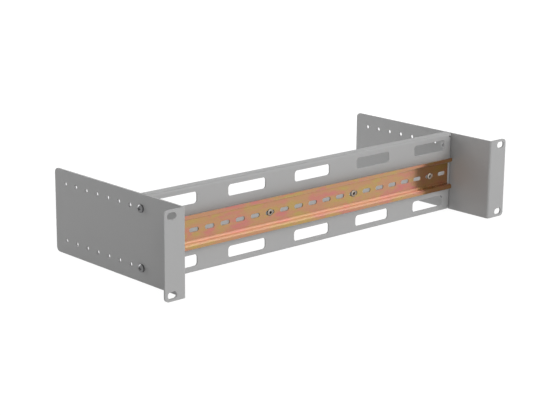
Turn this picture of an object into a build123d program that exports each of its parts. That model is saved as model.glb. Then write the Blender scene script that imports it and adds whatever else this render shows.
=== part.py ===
from build123d import *
import os
from math import floor, radians, tan

# Rack-mount panel that carries a 35 mm top-hat rail, set back between two folded side brackets.
# Millimetres. X runs to the right, Y to the rear, Z up. The origin is the centre of the four rack
# slots, on the rear faces of the ears, which seat against the rack's uprights.

# Rack face: 19 inches wide and two rack units high, less the usual gap to the next unit.
# The slots' edge distances put them 465.1 apart across the rack and 76.2 apart up it.
RACK_WIDTH = 482.6
RACK_HEIGHT = 88.1
RACK_SLOT_EDGE_X = 8.75
RACK_SLOT_EDGE_Z = 5.95
RACK_SLOT_LENGTH = 11.0
RACK_SLOT_WIDTH = 7.0

# Side brackets: one folded sheet each, an ear bent outward from the front of a side plate.
BRACKET_SHEET = 2.0
BRACKET_BEND_INNER = 0.8
BRACKET_DEPTH = 208.0
EAR_WIDTH = 23.3
EAR_CORNER_RADIUS = 4.5
REAR_CORNER_RADIUS = 5.0

# Two rows of holes in each side plate, which let the panel be fitted at several depths.
FIRST_HOLE_FROM_FACE = 65.0
HOLE_PITCH = 17.85
HOLE_ROW_EDGE = 14.3
REAR_HOLE_MARGIN = 14.0

# Mounting panel: one sheet folded to the rear on all four sides, fitted at the first holes.
PANEL_SHEET = 1.5
PANEL_BEND_INNER = 1.0
PANEL_LIP_DEPTH = 10.5
PANEL_FLANGE_DEPTH = 14.0
PANEL_HOLE_SETBACK = 7.4
PANEL_RELIEF = 1.5
PANEL_LIP_END_GAP = 0.5

# Cable windows: two rows, above and below the rail.
WINDOW_LENGTH = 50.0
WINDOW_HEIGHT = 12.0
WINDOW_CORNER_RADIUS = 3.5
WINDOW_PITCH = 90.0
WINDOW_EDGE_MARGIN = 6.25
WINDOW_END_MARGIN = 6.0

# Top-hat rail, 35 by 7.5 with a 27 wide channel, and a row of slots along its web.
RAIL_HEIGHT = 35.0
RAIL_DEPTH = 7.5
RAIL_LIP_REACH = 4.0
RAIL_SHEET = 1.0
RAIL_BEND_INNER = 1.5
RAIL_END_GAP = 5.0
RAIL_SLOT_LENGTH = 12.0
RAIL_SLOT_PITCH = 20.0

# Blind rivets that hold the rail to the panel.
RIVET_COUNT = 4
RIVET_DIAMETER = 4.0
RIVET_HOLE_CLEARANCE = 0.1
RIVET_SLOT_CLEARANCE = 0.25
RIVET_FLANGE_DIAMETER = 7.5
RIVET_FLANGE_HEIGHT = 1.1
RIVET_RIM_HEIGHT = 0.35
RIVET_MOUTH_DIAMETER = 3.4
RIVET_BLIND_DIAMETER = 6.0
RIVET_BLIND_LENGTH = 3.0
RIVET_BLIND_ROUND = 0.9
MANDREL_DIAMETER = 2.2
MANDREL_CLEARANCE = 0.02
MANDREL_BREAK_DEPTH = 2.0
MANDREL_HEAD_DIAMETER = 3.4
MANDREL_HEAD_LENGTH = 1.6
MANDREL_HEAD_ROUND = 0.8

# M4 cross-recess pan head screws and hexagon nuts that hold the panel to the side plates.
SCREW_DIAMETER = 4.0
SCREW_HOLE_CLEARANCE = 0.3
SCREW_HEAD_DIAMETER = 8.0
SCREW_HEAD_HEIGHT = 3.1
SCREW_HEAD_EDGE = 1.5
SCREW_TIP_PAST_NUT = 1.2
SCREW_TIP_CHAMFER = 0.5
RECESS_SPAN = 4.4
RECESS_ARM_WIDTH = 1.1
RECESS_DEPTH = 2.0
RECESS_TAPER = 12.0
NUT_ACROSS_FLATS = 7.0
NUT_HEIGHT = 3.2
NUT_THREAD_CLEARANCE = 0.05
NUT_CHAMFER_ANGLE = 30.0
NUT_TURN = 30.0

# Room left past a face by every cutting solid, so that no cut ends on the face itself.
CUT_OVERRUN = 1.0

# Places worked out from the sizes above.
EAR_FRONT_Y = -BRACKET_SHEET
BRACKET_REAR_Y = EAR_FRONT_Y + BRACKET_DEPTH
PLATE_OUTER_X = RACK_WIDTH / 2 - EAR_WIDTH
PLATE_INNER_X = PLATE_OUTER_X - BRACKET_SHEET
HALF_HEIGHT = RACK_HEIGHT / 2
RACK_SLOT_X = RACK_WIDTH / 2 - RACK_SLOT_EDGE_X
RACK_SLOT_Z = HALF_HEIGHT - RACK_SLOT_EDGE_Z

FIRST_HOLE_Y = EAR_FRONT_Y + FIRST_HOLE_FROM_FACE
HOLE_COLUMNS = floor((BRACKET_REAR_Y - REAR_HOLE_MARGIN - FIRST_HOLE_Y) / HOLE_PITCH) + 1
HOLE_ROW_Z = HALF_HEIGHT - HOLE_ROW_EDGE
SCREW_HOLE_DIAMETER = SCREW_DIAMETER + SCREW_HOLE_CLEARANCE

PANEL_FRONT_Y = FIRST_HOLE_Y - PANEL_HOLE_SETBACK
PANEL_REAR_Y = PANEL_FRONT_Y + PANEL_SHEET
PANEL_BEND_OUTER = PANEL_BEND_INNER + PANEL_SHEET
FLANGE_HALF_HEIGHT = HALF_HEIGHT - PANEL_BEND_OUTER - PANEL_RELIEF

WINDOW_ROOM = 2 * (PLATE_INNER_X - PANEL_BEND_OUTER - WINDOW_END_MARGIN)
WINDOW_COLUMNS = floor((WINDOW_ROOM - WINDOW_LENGTH) / WINDOW_PITCH) + 1
WINDOW_ROW_Z = HALF_HEIGHT - WINDOW_EDGE_MARGIN - WINDOW_HEIGHT / 2

RAIL_FRONT_Y = PANEL_FRONT_Y - RAIL_DEPTH
RAIL_WEB_FRONT_Y = PANEL_FRONT_Y - RAIL_SHEET
RAIL_SLOT_COUNT = floor(2 * (PLATE_INNER_X - RAIL_END_GAP) / RAIL_SLOT_PITCH)
RAIL_LENGTH = RAIL_SLOT_COUNT * RAIL_SLOT_PITCH
RAIL_SLOT_WIDTH = RIVET_DIAMETER + 2 * RIVET_SLOT_CLEARANCE

RIVET_GRIP = RAIL_SHEET + PANEL_SHEET
RIVET_HOLE_DIAMETER = RIVET_DIAMETER + 2 * RIVET_HOLE_CLEARANCE
RIVET_BORE_DIAMETER = MANDREL_DIAMETER + 2 * MANDREL_CLEARANCE
SCREW_GRIP = BRACKET_SHEET + PANEL_SHEET


def row_positions(count, pitch):
    """Places of an evenly pitched row, centred on zero."""
    return [(index - (count - 1) / 2) * pitch for index in range(count)]


def rivet_positions():
    """X of each rivet: spread over the rail's slots, from the second slot to the last but one."""
    slots = row_positions(RAIL_SLOT_COUNT, RAIL_SLOT_PITCH)
    step = (RAIL_SLOT_COUNT - 3) / (RIVET_COUNT - 1)
    return [slots[round(1 + index * step)] for index in range(RIVET_COUNT)]


def folded_section(corners, radii, thickness, side):
    """Face of a folded sheet's section: one face's line with rounded bends, thickened to a side."""
    one_face = FilletPolyline(*corners, radius=radii)
    outline = offset(one_face, amount=thickness, side=side)
    return make_face(outline)


def through_cut(sketch, start, length):
    """Cutting prism of a sketch drawn at the origin plane, moved to its start and made long enough."""
    return extrude(start * sketch, amount=length)


def side_bracket():
    """Left bracket: side plate, bent ear with two rack slots, and two rows of depth holes."""
    bend_outer = BRACKET_BEND_INNER + BRACKET_SHEET
    corners = [
        (-RACK_WIDTH / 2, EAR_FRONT_Y),
        (-PLATE_INNER_X, EAR_FRONT_Y),
        (-PLATE_INNER_X, BRACKET_REAR_Y),
    ]
    section = folded_section(corners, bend_outer, BRACKET_SHEET, Side.LEFT)
    bracket = extrude(Pos(0, 0, -HALF_HEIGHT) * section, amount=RACK_HEIGHT)

    ear_corners = bracket.edges().filter_by(Axis.Y).group_by(Axis.X)[0]
    bracket = fillet(ear_corners, EAR_CORNER_RADIUS)
    rear_corners = bracket.edges().filter_by(Axis.X).group_by(Axis.Y)[-1]
    bracket = fillet(rear_corners, REAR_CORNER_RADIUS)

    slot = Plane.XZ * SlotOverall(RACK_SLOT_LENGTH, RACK_SLOT_WIDTH)
    for z in (-RACK_SLOT_Z, RACK_SLOT_Z):
        place = Pos(-RACK_SLOT_X, CUT_OVERRUN, z)
        bracket -= through_cut(slot, place, BRACKET_SHEET + 2 * CUT_OVERRUN)

    hole = Plane.YZ * Circle(SCREW_HOLE_DIAMETER / 2)
    for column in range(HOLE_COLUMNS):
        for z in (-HOLE_ROW_Z, HOLE_ROW_Z):
            place = Pos(-PLATE_OUTER_X - CUT_OVERRUN, FIRST_HOLE_Y + column * HOLE_PITCH, z)
            bracket -= through_cut(hole, place, BRACKET_SHEET + 2 * CUT_OVERRUN)
    return bracket


def panel_channel():
    """Web with its top and bottom lips, clear of the side plates at the ends."""
    lip_rear = PANEL_FRONT_Y + PANEL_LIP_DEPTH
    corners = [
        (lip_rear, HALF_HEIGHT),
        (PANEL_FRONT_Y, HALF_HEIGHT),
        (PANEL_FRONT_Y, -HALF_HEIGHT),
        (lip_rear, -HALF_HEIGHT),
    ]
    section = folded_section(corners, PANEL_BEND_OUTER, PANEL_SHEET, Side.LEFT)
    half_length = PLATE_INNER_X - PANEL_LIP_END_GAP
    return extrude(Plane.YZ.offset(-half_length) * section, amount=2 * half_length)


def panel_flange():
    """Left side flange with its bend and the short strip that joins it to the web."""
    corners = [
        (-PLATE_INNER_X, PANEL_FRONT_Y + PANEL_FLANGE_DEPTH),
        (-PLATE_INNER_X, PANEL_FRONT_Y),
        (-PLATE_INNER_X + PANEL_BEND_OUTER + PANEL_RELIEF, PANEL_FRONT_Y),
    ]
    section = folded_section(corners, PANEL_BEND_OUTER, PANEL_SHEET, Side.LEFT)
    flange = extrude(Pos(0, 0, -FLANGE_HALF_HEIGHT) * section, amount=2 * FLANGE_HALF_HEIGHT)

    hole = Plane.YZ * Circle(SCREW_HOLE_DIAMETER / 2)
    for z in (-HOLE_ROW_Z, HOLE_ROW_Z):
        place = Pos(-PLATE_INNER_X - CUT_OVERRUN, FIRST_HOLE_Y, z)
        flange -= through_cut(hole, place, PANEL_SHEET + 2 * CUT_OVERRUN)
    return flange


def mounting_panel():
    """Panel folded on four sides, with corner reliefs, cable windows and rivet holes."""
    panel = panel_channel()

    notch_depth = PANEL_BEND_OUTER + PANEL_RELIEF
    notch_height = 2 * (FLANGE_HALF_HEIGHT + PANEL_RELIEF)
    notch = Box(notch_depth, 2 * PANEL_SHEET, notch_height, align=(Align.MIN, Align.CENTER, Align.CENTER))
    left_notch = Pos(-PLATE_INNER_X, PANEL_FRONT_Y, 0) * notch
    panel -= left_notch
    panel -= mirror(left_notch, about=Plane.YZ)

    left_flange = panel_flange()
    panel += left_flange
    panel += mirror(left_flange, about=Plane.YZ)

    cut_length = PANEL_SHEET + 2 * CUT_OVERRUN
    window = Plane.XZ * RectangleRounded(WINDOW_LENGTH, WINDOW_HEIGHT, WINDOW_CORNER_RADIUS)
    for x in row_positions(WINDOW_COLUMNS, WINDOW_PITCH):
        for z in (-WINDOW_ROW_Z, WINDOW_ROW_Z):
            panel -= through_cut(window, Pos(x, PANEL_REAR_Y + CUT_OVERRUN, z), cut_length)

    hole = Plane.XZ * Circle(RIVET_HOLE_DIAMETER / 2)
    for x in rivet_positions():
        panel -= through_cut(hole, Pos(x, PANEL_REAR_Y + CUT_OVERRUN, 0), cut_length)
    return panel


def din_rail():
    """Top-hat rail, open to the front, with its row of slots."""
    channel_half = RAIL_HEIGHT / 2 - RAIL_LIP_REACH - RAIL_SHEET
    bend_outer = RAIL_BEND_INNER + RAIL_SHEET
    corners = [
        (RAIL_FRONT_Y, RAIL_HEIGHT / 2),
        (RAIL_FRONT_Y, channel_half),
        (RAIL_WEB_FRONT_Y, channel_half),
        (RAIL_WEB_FRONT_Y, -channel_half),
        (RAIL_FRONT_Y, -channel_half),
        (RAIL_FRONT_Y, -RAIL_HEIGHT / 2),
    ]
    radii = [bend_outer, RAIL_BEND_INNER, RAIL_BEND_INNER, bend_outer]
    section = folded_section(corners, radii, RAIL_SHEET, Side.LEFT)
    rail = extrude(Plane.YZ.offset(-RAIL_LENGTH / 2) * section, amount=RAIL_LENGTH)

    slot = Plane.XZ * SlotOverall(RAIL_SLOT_LENGTH, RAIL_SLOT_WIDTH)
    for x in row_positions(RAIL_SLOT_COUNT, RAIL_SLOT_PITCH):
        rail -= through_cut(slot, Pos(x, PANEL_FRONT_Y + CUT_OVERRUN, 0), RAIL_SHEET + 2 * CUT_OVERRUN)
    return rail


def turned(profile):
    """Solid of revolution about the Z axis of a closed profile drawn in radius and height."""
    return revolve(Plane.XZ * make_face(profile), axis=Axis.Z)


def rivet_body():
    """Set blind rivet on the Z axis: its flange is seated at zero and its blind head is below."""
    flange_radius = RIVET_FLANGE_DIAMETER / 2
    mouth_radius = RIVET_MOUTH_DIAMETER / 2
    bore_radius = RIVET_BORE_DIAMETER / 2
    blind_end = -RIVET_GRIP - RIVET_BLIND_LENGTH
    mouth_edge = (mouth_radius, RIVET_FLANGE_HEIGHT)
    flange_rim = (flange_radius, RIVET_RIM_HEIGHT)
    crown = TangentArc(mouth_edge, flange_rim, tangent=(1, 0))
    rest = Polyline(
        mouth_edge,
        (bore_radius, RIVET_FLANGE_HEIGHT - MANDREL_BREAK_DEPTH),
        (bore_radius, blind_end),
        (RIVET_BLIND_DIAMETER / 2, blind_end),
        (RIVET_BLIND_DIAMETER / 2, -RIVET_GRIP),
        (RIVET_DIAMETER / 2, -RIVET_GRIP),
        (RIVET_DIAMETER / 2, 0),
        (flange_radius, 0),
        flange_rim,
    )
    body = turned(Curve() + [crown, rest])
    blind_face = body.faces().sort_by(Axis.Z)[0]
    return fillet(blind_face.outer_wire().edges(), RIVET_BLIND_ROUND)


def rivet_mandrel():
    """What stays of the mandrel: a broken shank in the bore and a round head under the blind end."""
    blind_end = -RIVET_GRIP - RIVET_BLIND_LENGTH
    shank_end = RIVET_FLANGE_HEIGHT - MANDREL_BREAK_DEPTH
    mandrel = turned(
        Polyline(
            (0, shank_end),
            (MANDREL_DIAMETER / 2, shank_end),
            (MANDREL_DIAMETER / 2, blind_end),
            (MANDREL_HEAD_DIAMETER / 2, blind_end),
            (MANDREL_HEAD_DIAMETER / 2, blind_end - MANDREL_HEAD_LENGTH),
            (0, blind_end - MANDREL_HEAD_LENGTH),
            close=True,
        )
    )
    head_rim = mandrel.edges().filter_by(GeomType.CIRCLE).group_by(Axis.Z)[0]
    return fillet(head_rim, MANDREL_HEAD_ROUND)


def panel_screw():
    """Pan head screw on the Z axis: its head is seated at zero and its shank is below."""
    head_radius = SCREW_HEAD_DIAMETER / 2
    length = SCREW_GRIP + NUT_HEIGHT + SCREW_TIP_PAST_NUT
    top = (0, SCREW_HEAD_HEIGHT)
    head_rim = (head_radius, SCREW_HEAD_EDGE)
    crown = TangentArc(top, head_rim, tangent=(1, 0))
    rest = Polyline(
        top,
        (0, -length),
        (SCREW_DIAMETER / 2 - SCREW_TIP_CHAMFER, -length),
        (SCREW_DIAMETER / 2, -length + SCREW_TIP_CHAMFER),
        (SCREW_DIAMETER / 2, 0),
        (head_radius, 0),
        head_rim,
    )
    screw = turned(Curve() + [crown, rest])

    cross = Rectangle(RECESS_SPAN, RECESS_ARM_WIDTH) + Rectangle(RECESS_ARM_WIDTH, RECESS_SPAN)
    mouth = Pos(0, 0, SCREW_HEAD_HEIGHT) * cross
    return screw - extrude(mouth, amount=-RECESS_DEPTH, taper=RECESS_TAPER)


def panel_nut():
    """Hexagon nut on the Z axis, seated at zero and standing below it, its corners chamfered."""
    flat_radius = NUT_ACROSS_FLATS / 2
    bore_radius = SCREW_DIAMETER / 2 + NUT_THREAD_CLEARANCE
    chamfer_reach = NUT_HEIGHT / 2 / tan(radians(NUT_CHAMFER_ANGLE))
    blank = turned(
        Polyline(
            (bore_radius, 0),
            (flat_radius, 0),
            (flat_radius + chamfer_reach, -NUT_HEIGHT / 2),
            (flat_radius, -NUT_HEIGHT),
            (bore_radius, -NUT_HEIGHT),
            close=True,
        )
    )
    hexagon = RegularPolygon(flat_radius, 6, major_radius=False, rotation=NUT_TURN)
    return blank & extrude(hexagon, amount=-NUT_HEIGHT)


def write(node, shape):
    """One file for each node."""
    export_step(shape, f"parts/{node}.step")


def build():
    os.makedirs("parts", exist_ok=True)

    left_bracket = side_bracket()
    write("left_side_bracket", left_bracket)
    write("right_side_bracket", mirror(left_bracket, about=Plane.YZ))
    write("mounting_panel", mounting_panel())
    write("din_rail", din_rail())

    front_axis = Plane(origin=(0, RAIL_WEB_FRONT_Y, 0), x_dir=(1, 0, 0), z_dir=(0, -1, 0))
    body = front_axis * rivet_body()
    mandrel = front_axis * rivet_mandrel()
    for number, x in enumerate(rivet_positions(), start=1):
        write(f"rail_rivet_{number}", Pos(x, 0, 0) * body)
        write(f"rail_rivet_mandrel_{number}", Pos(x, 0, 0) * mandrel)

    screw = panel_screw()
    nut = Pos(0, 0, -SCREW_GRIP) * panel_nut()
    for side_name, side in (("left", -1), ("right", 1)):
        for level_name, z in zip(("lower", "upper"), (-HOLE_ROW_Z, HOLE_ROW_Z)):
            seat = Plane(origin=(side * PLATE_OUTER_X, FIRST_HOLE_Y, z), x_dir=(0, 1, 0), z_dir=(side, 0, 0))
            write(f"{side_name}_{level_name}_panel_screw", seat * screw)
            write(f"{side_name}_{level_name}_panel_nut", seat * nut)


build()
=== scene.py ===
import math

import bmesh
import bpy
from bpy.props import FloatProperty, FloatVectorProperty, PointerProperty
from mathutils import Matrix, Vector


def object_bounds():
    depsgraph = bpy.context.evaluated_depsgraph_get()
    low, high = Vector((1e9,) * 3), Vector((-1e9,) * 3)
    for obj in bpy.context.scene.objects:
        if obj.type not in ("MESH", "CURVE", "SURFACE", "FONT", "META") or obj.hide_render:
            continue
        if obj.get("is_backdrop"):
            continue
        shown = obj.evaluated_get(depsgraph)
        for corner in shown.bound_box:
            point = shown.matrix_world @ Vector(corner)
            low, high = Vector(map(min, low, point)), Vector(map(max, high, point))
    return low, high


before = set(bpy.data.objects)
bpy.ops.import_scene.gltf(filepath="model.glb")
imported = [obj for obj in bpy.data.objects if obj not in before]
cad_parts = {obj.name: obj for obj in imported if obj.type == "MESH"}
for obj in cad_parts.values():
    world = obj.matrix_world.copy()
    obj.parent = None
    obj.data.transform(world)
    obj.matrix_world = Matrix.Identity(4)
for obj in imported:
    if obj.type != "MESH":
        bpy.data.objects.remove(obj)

bl_info = {
    "name": "Rack Rail Panel",
    "version": (1, 0, 0),
    "blender": (4, 5, 0),
    "location": "3D View > Sidebar > Rack Panel",
    "description": "Finishes a rack-mount rail panel and sets it on a pale studio floor",
    "category": "Object",
}

WHITE = (1.0, 1.0, 1.0)

# The photograph's frame and the camera that it was solved for.
PHOTO_WIDTH = 560
SENSOR_WIDTH = 36.0
CAMERA_FOCAL_PIXELS = 1580.0
CAMERA_PLACE = (-1.10364, -1.09775, 0.41832)
CAMERA_AZIMUTH = 42.539
CAMERA_ELEVATION = 14.899
CAMERA_ROLL = 0.54

# The studio's lamps: name, place, width in metres and power in watts.
LAMPS = (
    ("front", (0.85, -3.15, 1.1), 1.4, 50.0),
    ("fill", (-1.6, -2.7, 1.8), 2.0, 32.0),
    ("upper", (2.5, -1.0, 2.8), 4.4, 44.0),
    ("rear", (-0.22, 1.5, 0.5), 1.2, 19.6),
    ("top", (0.0, 0.1, 3.4), 1.6, 16.0),
)
# Share of the floor's reach over which it keeps its full shade.
FLOOR_NEAR = 0.4

# How far noise moves the brightness and the roughness of each finish, up and down.
COAT_SWING = 0.03
COAT_GLOSS_SWING = 0.04
FILM_SWING = 0.05
FILM_GLOSS_SWING = 0.03
METAL_SWING = 0.06
METAL_GLOSS_SWING = 0.05

# The powder coat: its drift in waves to the metre, its dimples' depth and its weak mirror.
COAT_DRIFT_SCALE = 9.0
COAT_DIMPLE_DEPTH = 0.00003
COAT_SPECULAR = 0.3

# Plain and plated metal: the width and the depth of its grain.
METAL_GRAIN = 0.0008
METAL_GRAIN_DEPTH = 0.000003

# The two cloud patterns of the rail's film. Each has its fineness along X, Y and Z against the
# cloud length, the place where it starts, and the noise levels between which it sets in.
THICK_FINENESS = (1.0, 2.6, 2.6)
THICK_SHIFT = (63.9, 9.2, 12.1)
THICK_LEVELS = (0.46, 0.70)
THIN_FINENESS = (0.8, 2.8, 2.2)
THIN_SHIFT = (71.2, 1.9, 4.6)
THIN_LEVELS = (0.42, 0.66)

# Streaks and drawing lines along the rail, in waves to the metre along X, Y and Z.
STREAK_SCALE = (25.0, 1400.0, 1400.0)
LINE_SCALE = (400.0, 20000.0, 20000.0)
CLEAR_ROUGHNESS = 0.2

# The rail's lower bends, where the film is duller and less like metal, and paler: a painted
# highlight for the band of lamp light they reflect. Their heights, the heights of the ridge between
# them, which gets the strongest painted highlight, and how far right all of it reaches, up to where
# the right bracket's reflection darkens the rail. From there on the film is amber, a painted tint
# of that reflection.
BEND_LOW = -0.0132
BEND_HIGH = -0.0110
BEND_FADE = 0.0012
RIDGE_LOW = -0.0128
RIDGE_HIGH = -0.0121
RIDGE_FADE = 0.0004
BEND_REACH = 0.172
REACH_FADE = 0.022
BEND_HIGHLIGHT_SHARE = 0.3
BEND_HIGHLIGHT_LIFT = 0.06
RIDGE_HIGHLIGHT_LIFT = 0.50
BEND_METAL_LOSS = 0.62
BEND_DULLING = 0.32
AMBER_REFLECTION_SHARE = 0.4

# The rivets' mouths, where shade is painted on: their depths behind the crown, and how dark the
# painted shade is.
MOUTH_START = 0.0011
MOUTH_END = 0.0025
MOUTH_FADE = 0.0008
MOUTH_PAINTED_SHADE = 0.8

# Edges: how near loose corners are joined, which facets are one flat, and which edges are sharp.
WELD_REACH = 1e-6
FLAT_ANGLE = math.radians(1.0)
SHARP_ANGLE = math.radians(35.0)
EDGE_SEGMENTS = 2
FLAT_FACE_WEIGHT = 100

BRACKETS = ("left_side_bracket", "right_side_bracket")
CORNERS = [f"{side}_{level}" for side in ("left", "right") for level in ("lower", "upper")]
SCREWS = [f"{corner}_panel_screw" for corner in CORNERS]
NUTS = [f"{corner}_panel_nut" for corner in CORNERS]
MANDRELS = sorted(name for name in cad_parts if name.startswith("rail_rivet_mandrel_"))
RIVETS = [name.replace("_mandrel", "") for name in MANDRELS]

# The physical shader's sockets in plain words.
SHADER_SOCKETS = {
    "colour": "Base Color", "metal": "Metallic", "roughness": "Roughness", "normal": "Normal",
    "specular": "Specular IOR Level", "clear": "Coat Weight", "clear_roughness": "Coat Roughness",
}


class CoatSettings(bpy.types.PropertyGroup):
    """Powder coat on the brackets and the panel."""

    colour: FloatVectorProperty(
        name="Coat colour", description="Grey of the powder coat",
        subtype="COLOR", size=3, min=0.0, max=1.0, default=(0.39, 0.39, 0.39),
    )
    gloss: FloatProperty(
        name="Coat roughness", description="Roughness of the powder coat",
        subtype="FACTOR", min=0.0, max=1.0, default=0.48,
    )
    grain: FloatProperty(
        name="Coat grain", description="Width of the coat's small dimples",
        unit="LENGTH", min=0.0001, max=0.01, default=0.0012,
    )
    edge: FloatProperty(
        name="Coated edge", description="Rounding of the sheet's cut edges under the coat",
        unit="LENGTH", min=0.0, max=0.001, default=0.00028,
    )


class RailSettings(bpy.types.PropertyGroup):
    """Yellow passivated zinc on the rail."""

    tan: FloatVectorProperty(
        name="Tan film", description="Film colour at its usual thickness",
        subtype="COLOR", size=3, min=0.0, max=1.0, default=(0.455, 0.218, 0.105),
    )
    rose: FloatVectorProperty(
        name="Rose film", description="Film colour where it is thick",
        subtype="COLOR", size=3, min=0.0, max=1.0, default=(0.50, 0.155, 0.130),
    )
    olive: FloatVectorProperty(
        name="Olive film", description="Film colour where it is thin",
        subtype="COLOR", size=3, min=0.0, max=1.0, default=(0.41, 0.275, 0.065),
    )
    # The amber at the rail's right end is a painted tint of the right bracket's reflection there.
    amber: FloatVectorProperty(
        name="Amber film", description="Deeper film colour at the rail's right end",
        subtype="COLOR", size=3, min=0.0, max=1.0, default=(0.47, 0.215, 0.010),
    )
    # The paler bend film is a painted highlight for the band of lamp light that the lower bends
    # reflect.
    bend: FloatVectorProperty(
        name="Bend film", description="Paler film on the stretched metal of the lower bends",
        subtype="COLOR", size=3, min=0.0, max=1.0, default=(0.85, 0.56, 0.46),
    )
    metal: FloatProperty(
        name="Film metal",
        description="Share of the film's look that is metal; the rest is its own matt colour",
        subtype="FACTOR", min=0.0, max=1.0, default=0.92,
    )
    cloud: FloatProperty(
        name="Cloud length", description="Length of the film's colour clouds along the rail",
        unit="LENGTH", min=0.005, max=0.5, default=0.030,
    )
    gloss: FloatProperty(
        name="Film roughness", description="Roughness of the plated rail",
        subtype="FACTOR", min=0.0, max=1.0, default=0.11,
    )
    drawing: FloatProperty(
        name="Drawing lines",
        description="Slope of the fine lines that rolling left along the rail",
        subtype="FACTOR", min=0.0, max=3.0, default=1.2,
    )
    edge: FloatProperty(
        name="Rail edge", description="Rounding of the rail's rolled and punched edges",
        unit="LENGTH", min=0.0, max=0.0005, default=0.00015,
    )


class FastenerSettings(bpy.types.PropertyGroup):
    """Screws, nuts and rivets."""

    nut: FloatVectorProperty(
        name="Dull zinc", description="Colour of the plated nuts",
        subtype="COLOR", size=3, min=0.0, max=1.0, default=(0.42, 0.42, 0.42),
    )
    zinc: FloatVectorProperty(
        name="Zinc", description="Colour of the plated screws",
        subtype="COLOR", size=3, min=0.0, max=1.0, default=(0.165, 0.165, 0.168),
    )
    aluminium: FloatVectorProperty(
        name="Aluminium", description="Colour of the rivets",
        subtype="COLOR", size=3, min=0.0, max=1.0, default=(0.32, 0.275, 0.235),
    )
    # The stubs' near-black is darker than steel: it is painted shade of the rivets' holes, where
    # the stubs sit deep.
    steel: FloatVectorProperty(
        name="Broken steel", description="Colour of the rivets' broken stubs",
        subtype="COLOR", size=3, min=0.0, max=1.0, default=(0.03, 0.028, 0.025),
    )
    edge: FloatProperty(
        name="Fastener edge", description="Rounding of the fasteners' edges",
        unit="LENGTH", min=0.0, max=0.0005, default=0.00012,
    )


class StageSettings(bpy.types.PropertyGroup):
    """Floor, lights and background."""

    floor_size: FloatProperty(
        name="Floor size", description="Width of the floor",
        unit="LENGTH", min=1.0, max=60.0, default=24.0,
    )
    floor_colour: FloatVectorProperty(
        name="Floor colour", description="Colour of the floor where light and shadow shape it",
        subtype="COLOR", size=3, min=0.0, max=1.0, default=(0.50, 0.50, 0.50),
    )
    floor_white: FloatProperty(
        name="Floor white", description="Plain brightness of the floor to the camera",
        min=0.0, max=2.0, default=1.26,
    )
    floor_glow: FloatProperty(
        name="Floor glow",
        description="Share of the floor's light on the object that shadows leave as it is",
        subtype="FACTOR", min=0.0, max=1.0, default=0.36,
    )
    floor_shade: FloatProperty(
        name="Floor shade",
        description="Share of the near floor's look that lights and shadows make",
        subtype="FACTOR", min=0.0, max=1.0, default=0.25,
    )
    floor_reach: FloatProperty(
        name="Floor reach", description="Distance at which the floor has turned plain white",
        unit="LENGTH", min=0.3, max=10.0, default=1.0,
    )
    ambient: FloatProperty(
        name="Ambient", description="Strength of the light from all round",
        min=0.0, max=4.0, default=0.06,
    )


class RackPanelSettings(bpy.types.PropertyGroup):
    """All settings of the part and its stage."""

    coat: PointerProperty(type=CoatSettings)
    rail: PointerProperty(type=RailSettings)
    fasteners: PointerProperty(type=FastenerSettings)
    stage: PointerProperty(type=StageSettings)


class Value:
    """A node socket that carries a number, with the arithmetic that materials here need."""

    def __init__(self, finish, socket):
        self.finish = finish
        self.socket = socket

    def math(self, operation, other, first=True):
        """The value and another one through a maths node; it comes second when first is False."""
        one, two = (self, other) if first else (other, self)
        return self.finish.add("ShaderNodeMath", {"operation": operation}, {0: one, 1: two})

    def __add__(self, other):
        return self.math("ADD", other)

    __radd__ = __add__

    def __mul__(self, other):
        return self.math("MULTIPLY", other)

    __rmul__ = __mul__

    def __sub__(self, other):
        return self.math("SUBTRACT", other)

    def __rsub__(self, other):
        return self.math("SUBTRACT", other, first=False)


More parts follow.
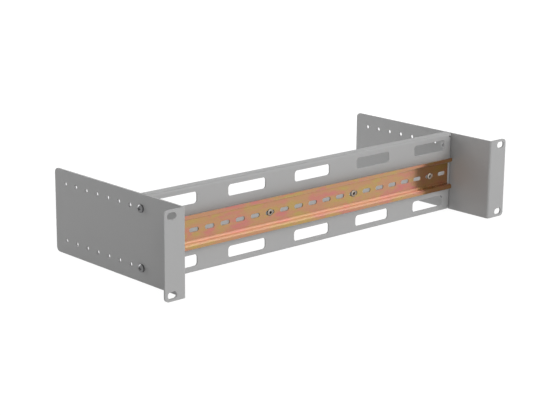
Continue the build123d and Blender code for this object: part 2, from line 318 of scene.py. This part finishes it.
class Finish:
    """The nodes of a material, or of the world, under construction."""

    def __init__(self, holder):
        self.holder = holder
        holder.use_nodes = True
        self.tree = holder.node_tree
        self.tree.nodes.clear()

    def feed(self, socket, value):
        """Links a value to a socket, or sets the socket's own number or colour."""
        if isinstance(value, Value):
            self.tree.links.new(value.socket, socket)
        elif isinstance(value, (tuple, list)) and socket.type == "RGBA":
            socket.default_value = (*value[:3], 1.0)
        else:
            socket.default_value = value

    def add(self, kind, settings=None, inputs=None, output=0):
        """Adds a node: its settings first, then the values or links of its sockets."""
        node = self.tree.nodes.new(kind)
        for name, value in (settings or {}).items():
            setattr(node, name, value)
        for name, value in (inputs or {}).items():
            self.feed(node.inputs[name], value)
        return Value(self, node.outputs[output]) if node.outputs else None

    def coordinate(self, axis):
        """Object coordinate along X, Y or Z, in metres."""
        return self.add("ShaderNodeSeparateXYZ", {}, {0: self.place()}, axis)

    def place(self, scale=(1.0, 1.0, 1.0), shift=(0.0, 0.0, 0.0)):
        """Object coordinates, stretched by a scale and moved by a shift along each axis."""
        inputs = {0: self.add("ShaderNodeTexCoord", output="Object"), 1: scale, 2: shift}
        return self.add("ShaderNodeVectorMath", {"operation": "MULTIPLY_ADD"}, inputs)

    def noise(self, vector, scale=1.0, detail=2.0, roughness=0.5):
        """Smooth noise from 0 to 1."""
        inputs = {"Vector": vector, "Scale": scale, "Detail": detail, "Roughness": roughness}
        return self.add("ShaderNodeTexNoise", {}, inputs)

    def clouds(self, length, fineness, shift):
        """Noise in clouds of a length, finer by a share along each axis."""
        scale = tuple(share / length for share in fineness)
        return self.noise(self.place(scale, shift), detail=3.0, roughness=0.6)

    def band(self, value, low, high, lowest=0.0, highest=1.0):
        """Soft step from one level to another while a value passes from low to high."""
        inputs = {
            "Value": value, "From Min": low, "From Max": high, "To Min": lowest, "To Max": highest,
        }
        return self.add("ShaderNodeMapRange", {"interpolation_type": "SMOOTHSTEP"}, inputs)

    def zone(self, value, low, high, fade):
        """1 while a value is between low and high, and softly 0 at a fade's width beyond them."""
        return self.band(value, low - fade, low) * self.band(value, high, high + fade, 1.0, 0.0)

    def blend(self, factor, first, second):
        """Colour between two colours."""
        inputs = {"Factor": factor, "A": first, "B": second}
        return self.add("ShaderNodeMix", {"data_type": "RGBA"}, inputs, "Result")

    def tint(self, colour, value):
        """A colour times a number."""
        inputs = {0: colour, "Scale": value}
        return self.add("ShaderNodeVectorMath", {"operation": "SCALE"}, inputs)

    def bump(self, height, distance):
        """Normal of a surface that a height from 0 to 1 raises by a distance."""
        inputs = {"Height": height, "Distance": distance, "Strength": 1.0}
        return self.add("ShaderNodeBump", {}, inputs)

    def shade(self, **sockets):
        """Ends the material in one physical shader, its sockets named in plain words."""
        inputs = {SHADER_SOCKETS[word]: value for word, value in sockets.items()}
        shader = self.add("ShaderNodeBsdfPrincipled", {}, inputs)
        self.add("ShaderNodeOutputMaterial", {}, {"Surface": shader})
        return self.holder

    def seen(self):
        """1 for what shows directly, in a reflection or through something clear, else 0."""
        direct = self.add("ShaderNodeLightPath", output="Is Camera Ray")
        mirrored = self.add("ShaderNodeLightPath", output="Is Glossy Ray")
        through = self.add("ShaderNodeLightPath", output="Is Transmission Ray")
        return direct.math("MAXIMUM", mirrored).math("MAXIMUM", through)


def vary(level, noise, swing):
    """A level that noise moves up and down by a swing."""
    return level - swing + noise * (2.0 * swing)


def powder_coat(name, settings):
    """Grey powder coat: even colour, fine orange-peel dimples and a soft gloss."""
    finish = Finish(bpy.data.materials.new(name))
    place = finish.place()
    drift = finish.noise(place, COAT_DRIFT_SCALE)
    dimples = finish.noise(place, 1.0 / settings.grain, detail=3.0, roughness=0.6)
    return finish.shade(
        colour=finish.tint(tuple(settings.colour), vary(1.0, drift, COAT_SWING)),
        roughness=vary(settings.gloss, dimples, COAT_GLOSS_SWING),
        normal=finish.bump(dimples, COAT_DIMPLE_DEPTH),
        specular=COAT_SPECULAR,
    )


def rolled_normal(finish, settings):
    """Normal of the rail's surface, tilted across the fine lines that run along it."""
    lines = finish.noise(finish.place(LINE_SCALE), detail=1.0)
    slope = settings.drawing * (lines - 0.5)
    tilt = finish.add("ShaderNodeCombineXYZ", {}, {"Y": slope, "Z": slope})
    normal = finish.add("ShaderNodeNewGeometry", output="Normal")
    rolled = finish.add("ShaderNodeVectorMath", {"operation": "ADD"}, {0: normal, 1: tilt})
    return finish.add("ShaderNodeVectorMath", {"operation": "NORMALIZE"}, {0: rolled})


def yellow_zinc(settings):
    """Zinc under a clear-sealed yellow film, whose colour turns with its thickness, with painted
    highlight on its lower bends and a painted reflection tint at its right end.
    """
    finish = Finish(bpy.data.materials.new("yellow_zinc"))
    thick = finish.clouds(settings.cloud, THICK_FINENESS, THICK_SHIFT)
    thin = finish.clouds(settings.cloud, THIN_FINENESS, THIN_SHIFT)
    streaks = finish.noise(finish.place(STREAK_SCALE), detail=2.0, roughness=0.6)

    height = finish.coordinate("Z")
    # Painted highlight on the lower bends and the ridge between them, stopping where the right
    # bracket's reflection darkens the rail.
    left_of_bracket_reflection = finish.band(finish.coordinate("X"), BEND_REACH - REACH_FADE, BEND_REACH, 1.0, 0.0)
    bent_and_highlit = finish.zone(height, BEND_LOW, BEND_HIGH, BEND_FADE) * left_of_bracket_reflection
    ridge_highlight = finish.zone(height, RIDGE_LOW, RIDGE_HIGH, RIDGE_FADE) * bent_and_highlit

    film = finish.blend(finish.band(thin, *THIN_LEVELS), tuple(settings.tan), tuple(settings.olive))
    film = finish.blend(finish.band(thick, *THICK_LEVELS), film, tuple(settings.rose))
    # Painted reflection tint: amber over the rail's right end, where the right bracket's reflection
    # falls.
    film = finish.blend(AMBER_REFLECTION_SHARE - left_of_bracket_reflection * AMBER_REFLECTION_SHARE, film, tuple(settings.amber))
    film = finish.blend(bent_and_highlit * BEND_HIGHLIGHT_SHARE, film, tuple(settings.bend))
    # Painted highlight: the bends, and most of all their ridge, are made brighter.
    brightness = vary(1.0, streaks, FILM_SWING) * (1.0 + BEND_HIGHLIGHT_LIFT * bent_and_highlit + RIDGE_HIGHLIGHT_LIFT * ridge_highlight)
    return finish.shade(
        colour=finish.tint(film, brightness),
        metal=settings.metal - bent_and_highlit * BEND_METAL_LOSS,
        roughness=vary(settings.gloss, streaks, FILM_GLOSS_SWING) + bent_and_highlit * BEND_DULLING,
        clear=1.0 - bent_and_highlit,
        clear_roughness=CLEAR_ROUGHNESS,
        normal=rolled_normal(finish, settings),
    )


def bright_metal(name, colour, roughness, metal=1.0, crown=None):
    """Plain or plated metal with a faint mottle, and painted shade in the mouth behind a rivet's
    crown.
    """
    finish = Finish(bpy.data.materials.new(name))
    spots = finish.noise(finish.place(), 1.0 / METAL_GRAIN)
    brightness = vary(1.0, spots, METAL_SWING)
    if crown is not None:
        # Painted shade: the metal is darkened inside the rivet's mouth, behind its crown.
        depth = finish.coordinate("Y")
        mouth_shade = finish.zone(depth, crown + MOUTH_START, crown + MOUTH_END, MOUTH_FADE)
        brightness = brightness * (1.0 - MOUTH_PAINTED_SHADE * mouth_shade)
    return finish.shade(
        colour=finish.tint(tuple(colour), brightness),
        metal=metal,
        roughness=vary(roughness, spots, METAL_GLOSS_SWING),
        normal=finish.bump(spots, METAL_GRAIN_DEPTH),
    )


def coat_node(name, material):
    """Gives a solid of the frame its finish."""
    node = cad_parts[name]
    node.data.materials.clear()
    node.data.materials.append(material)
    return node


def round_edges(node, radius):
    """Joins the loose facets, clears the flats and rounds the sharp edges."""
    weld = node.modifiers.new("Weld", "WELD")
    weld.merge_threshold = WELD_REACH
    flats = node.modifiers.new("Flats", "DECIMATE")
    flats.decimate_type = "DISSOLVE"
    flats.angle_limit = FLAT_ANGLE
    bevel = node.modifiers.new("Bevel", "BEVEL")
    bevel.limit_method = "ANGLE"
    bevel.angle_limit = SHARP_ANGLE
    bevel.width = radius
    bevel.segments = EDGE_SEGMENTS
    normals = node.modifiers.new("Normals", "WEIGHTED_NORMAL")
    normals.weight = FLAT_FACE_WEIGHT


class RACKPANEL_OT_sheets(bpy.types.Operator):
    """Powder coats the two brackets and the panel, and rounds their edges"""

    bl_idname = "rackpanel.sheets"
    bl_label = "Coat the sheets"

    def execute(self, context):
        settings = context.scene.rack_panel.coat
        for name in (*BRACKETS, "mounting_panel"):
            node = coat_node(name, powder_coat(f"{name}_coat", settings))
            round_edges(node, settings.edge)
        return {"FINISHED"}


class RACKPANEL_OT_rail(bpy.types.Operator):
    """Plates the rail"""

    bl_idname = "rackpanel.rail"
    bl_label = "Plate the rail"

    def execute(self, context):
        settings = context.scene.rack_panel.rail
        node = coat_node("din_rail", yellow_zinc(settings))
        round_edges(node, settings.edge)
        return {"FINISHED"}


class RACKPANEL_OT_fasteners(bpy.types.Operator):
    """Finishes the rivets, screws and nuts"""

    bl_idname = "rackpanel.fasteners"
    bl_label = "Finish the fasteners"

    def execute(self, context):
        settings = context.scene.rack_panel.fasteners
        crown = min(vertex.co.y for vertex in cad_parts[RIVETS[0]].data.vertices)
        rivet = bright_metal("rivet_aluminium", settings.aluminium, roughness=0.62, crown=crown)
        # Near-black stubs: painted shade of the rivets' holes over the steel's colour.
        mandrel = bright_metal("mandrel_steel", settings.steel, roughness=0.70)
        screw = bright_metal("screw_zinc", settings.zinc, roughness=0.32)
        nut = bright_metal("nut_zinc", settings.nut, roughness=0.60, metal=0.4)
        kinds = (
            (RIVETS, rivet, "rivet_aluminium"),
            (MANDRELS, mandrel, "mandrel_steel"),
            (SCREWS, screw, "zinc_steel"),
            (NUTS, nut, "zinc_steel"),
        )
        for names, material, slot in kinds:
            for name in names:
                node = coat_node(name, material)
                round_edges(node, settings.edge)
        return {"FINISHED"}


def floor_material(settings):
    """Near-white floor that keeps the object's shadow, and looks as white in reflections."""
    finish = Finish(bpy.data.materials.new("floor"))
    glow = {"Color": WHITE, "Strength": settings.floor_white}
    white = finish.add("ShaderNodeEmission", {}, glow)
    matt = finish.add("ShaderNodeBsdfDiffuse", {}, {"Color": tuple(settings.floor_colour)})
    length = {"operation": "LENGTH"}
    distance = finish.add("ShaderNodeVectorMath", length, {0: finish.place()}, "Value")
    reach = settings.floor_reach
    plain = finish.band(distance, FLOOR_NEAR * reach, reach, 1.0 - settings.floor_shade)
    share = finish.band(finish.seen(), 0.0, 1.0, settings.floor_glow, plain)
    mix = finish.add("ShaderNodeMixShader", {}, {0: share, 1: matt, 2: white})
    finish.add("ShaderNodeOutputMaterial", {}, {"Surface": mix})
    return finish.holder


def studio_world(settings):
    """White background, with a weaker light from all round."""
    finish = Finish(bpy.data.worlds.new("studio"))
    strength = finish.band(finish.seen(), 0.0, 1.0, settings.ambient)
    inputs = {"Color": WHITE, "Strength": strength}
    background = finish.add("ShaderNodeBackground", {}, inputs)
    finish.add("ShaderNodeOutputWorld", {}, {"Surface": background})
    bpy.context.scene.world = finish.holder


def soft_light(name, place, target, size, power):
    """Square soft box at a place, turned to a target."""
    data = bpy.data.lights.new(name, "AREA")
    data.shape = "SQUARE"
    data.size = size
    data.energy = power
    lamp = bpy.data.objects.new(name, data)
    lamp.location = place
    lamp.rotation_euler = (Vector(target) - Vector(place)).to_track_quat("-Z", "Y").to_euler()
    bpy.context.scene.collection.objects.link(lamp)


def photo_camera():
    """Camera at the photograph's place, direction and field of view."""
    data = bpy.data.cameras.new("photo_camera")
    data.sensor_width = SENSOR_WIDTH
    data.lens = CAMERA_FOCAL_PIXELS / PHOTO_WIDTH * SENSOR_WIDTH
    camera = bpy.data.objects.new("photo_camera", data)
    turn = Matrix.Rotation(math.radians(-CAMERA_AZIMUTH), 4, "Z")
    tilt = Matrix.Rotation(math.radians(90.0 - CAMERA_ELEVATION), 4, "X")
    roll = Matrix.Rotation(math.radians(CAMERA_ROLL), 4, "Z")
    camera.matrix_world = Matrix.Translation(CAMERA_PLACE) @ turn @ tilt @ roll
    bpy.context.scene.collection.objects.link(camera)
    bpy.context.scene.camera = camera


class RACKPANEL_OT_stage(bpy.types.Operator):
    """Sets the floor, the lights, the white background and the camera"""

    bl_idname = "rackpanel.stage"
    bl_label = "Set the stage"

    def execute(self, context):
        settings = context.scene.rack_panel.stage
        lowest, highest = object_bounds()
        mesh = bpy.data.meshes.new("floor")
        shape = bmesh.new()
        bmesh.ops.create_grid(shape, x_segments=1, y_segments=1, size=settings.floor_size / 2)
        bmesh.ops.translate(shape, verts=shape.verts, vec=(0.0, 0.0, lowest.z))
        shape.to_mesh(mesh)
        shape.free()
        floor = bpy.data.objects.new("floor", mesh)
        floor.data.materials.append(floor_material(settings))
        bpy.context.scene.collection.objects.link(floor)
        floor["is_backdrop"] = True

        studio_world(settings)
        middle = (lowest + highest) / 2
        for name, place, size, power in LAMPS:
            soft_light(name, place, middle, size, power)
        photo_camera()
        bpy.context.scene.view_settings.view_transform = "Standard"
        return {"FINISHED"}


class RACKPANEL_PT_sidebar(bpy.types.Panel):
    """Lists the steps and settings of the part"""

    bl_idname = "RACKPANEL_PT_sidebar"
    bl_label = "Rack Panel"
    bl_space_type = "VIEW_3D"
    bl_region_type = "UI"
    bl_category = "Rack Panel"

    def draw(self, context):
        settings = context.scene.rack_panel
        for operator, group in STEPS:
            column = self.layout.column(align=True)
            column.operator(operator.bl_idname)
            values = getattr(settings, group)
            for name in values.__annotations__:
                column.prop(values, name)


STEPS = (
    (RACKPANEL_OT_sheets, "coat"),
    (RACKPANEL_OT_rail, "rail"),
    (RACKPANEL_OT_fasteners, "fasteners"),
    (RACKPANEL_OT_stage, "stage"),
)
CLASSES = (
    CoatSettings, RailSettings, FastenerSettings, StageSettings, RackPanelSettings,
    *(operator for operator, _ in STEPS), RACKPANEL_PT_sidebar,
)


def register():
    for item in CLASSES:
        bpy.utils.register_class(item)
    bpy.types.Scene.rack_panel = PointerProperty(type=RackPanelSettings)


def unregister():
    del bpy.types.Scene.rack_panel
    for item in reversed(CLASSES):
        bpy.utils.unregister_class(item)


def main():
    """Builds everything."""
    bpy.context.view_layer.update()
    register()
    bpy.ops.rackpanel.sheets()
    bpy.ops.rackpanel.rail()
    bpy.ops.rackpanel.fasteners()
    bpy.ops.rackpanel.stage()


if __name__ == "__main__":
    main()
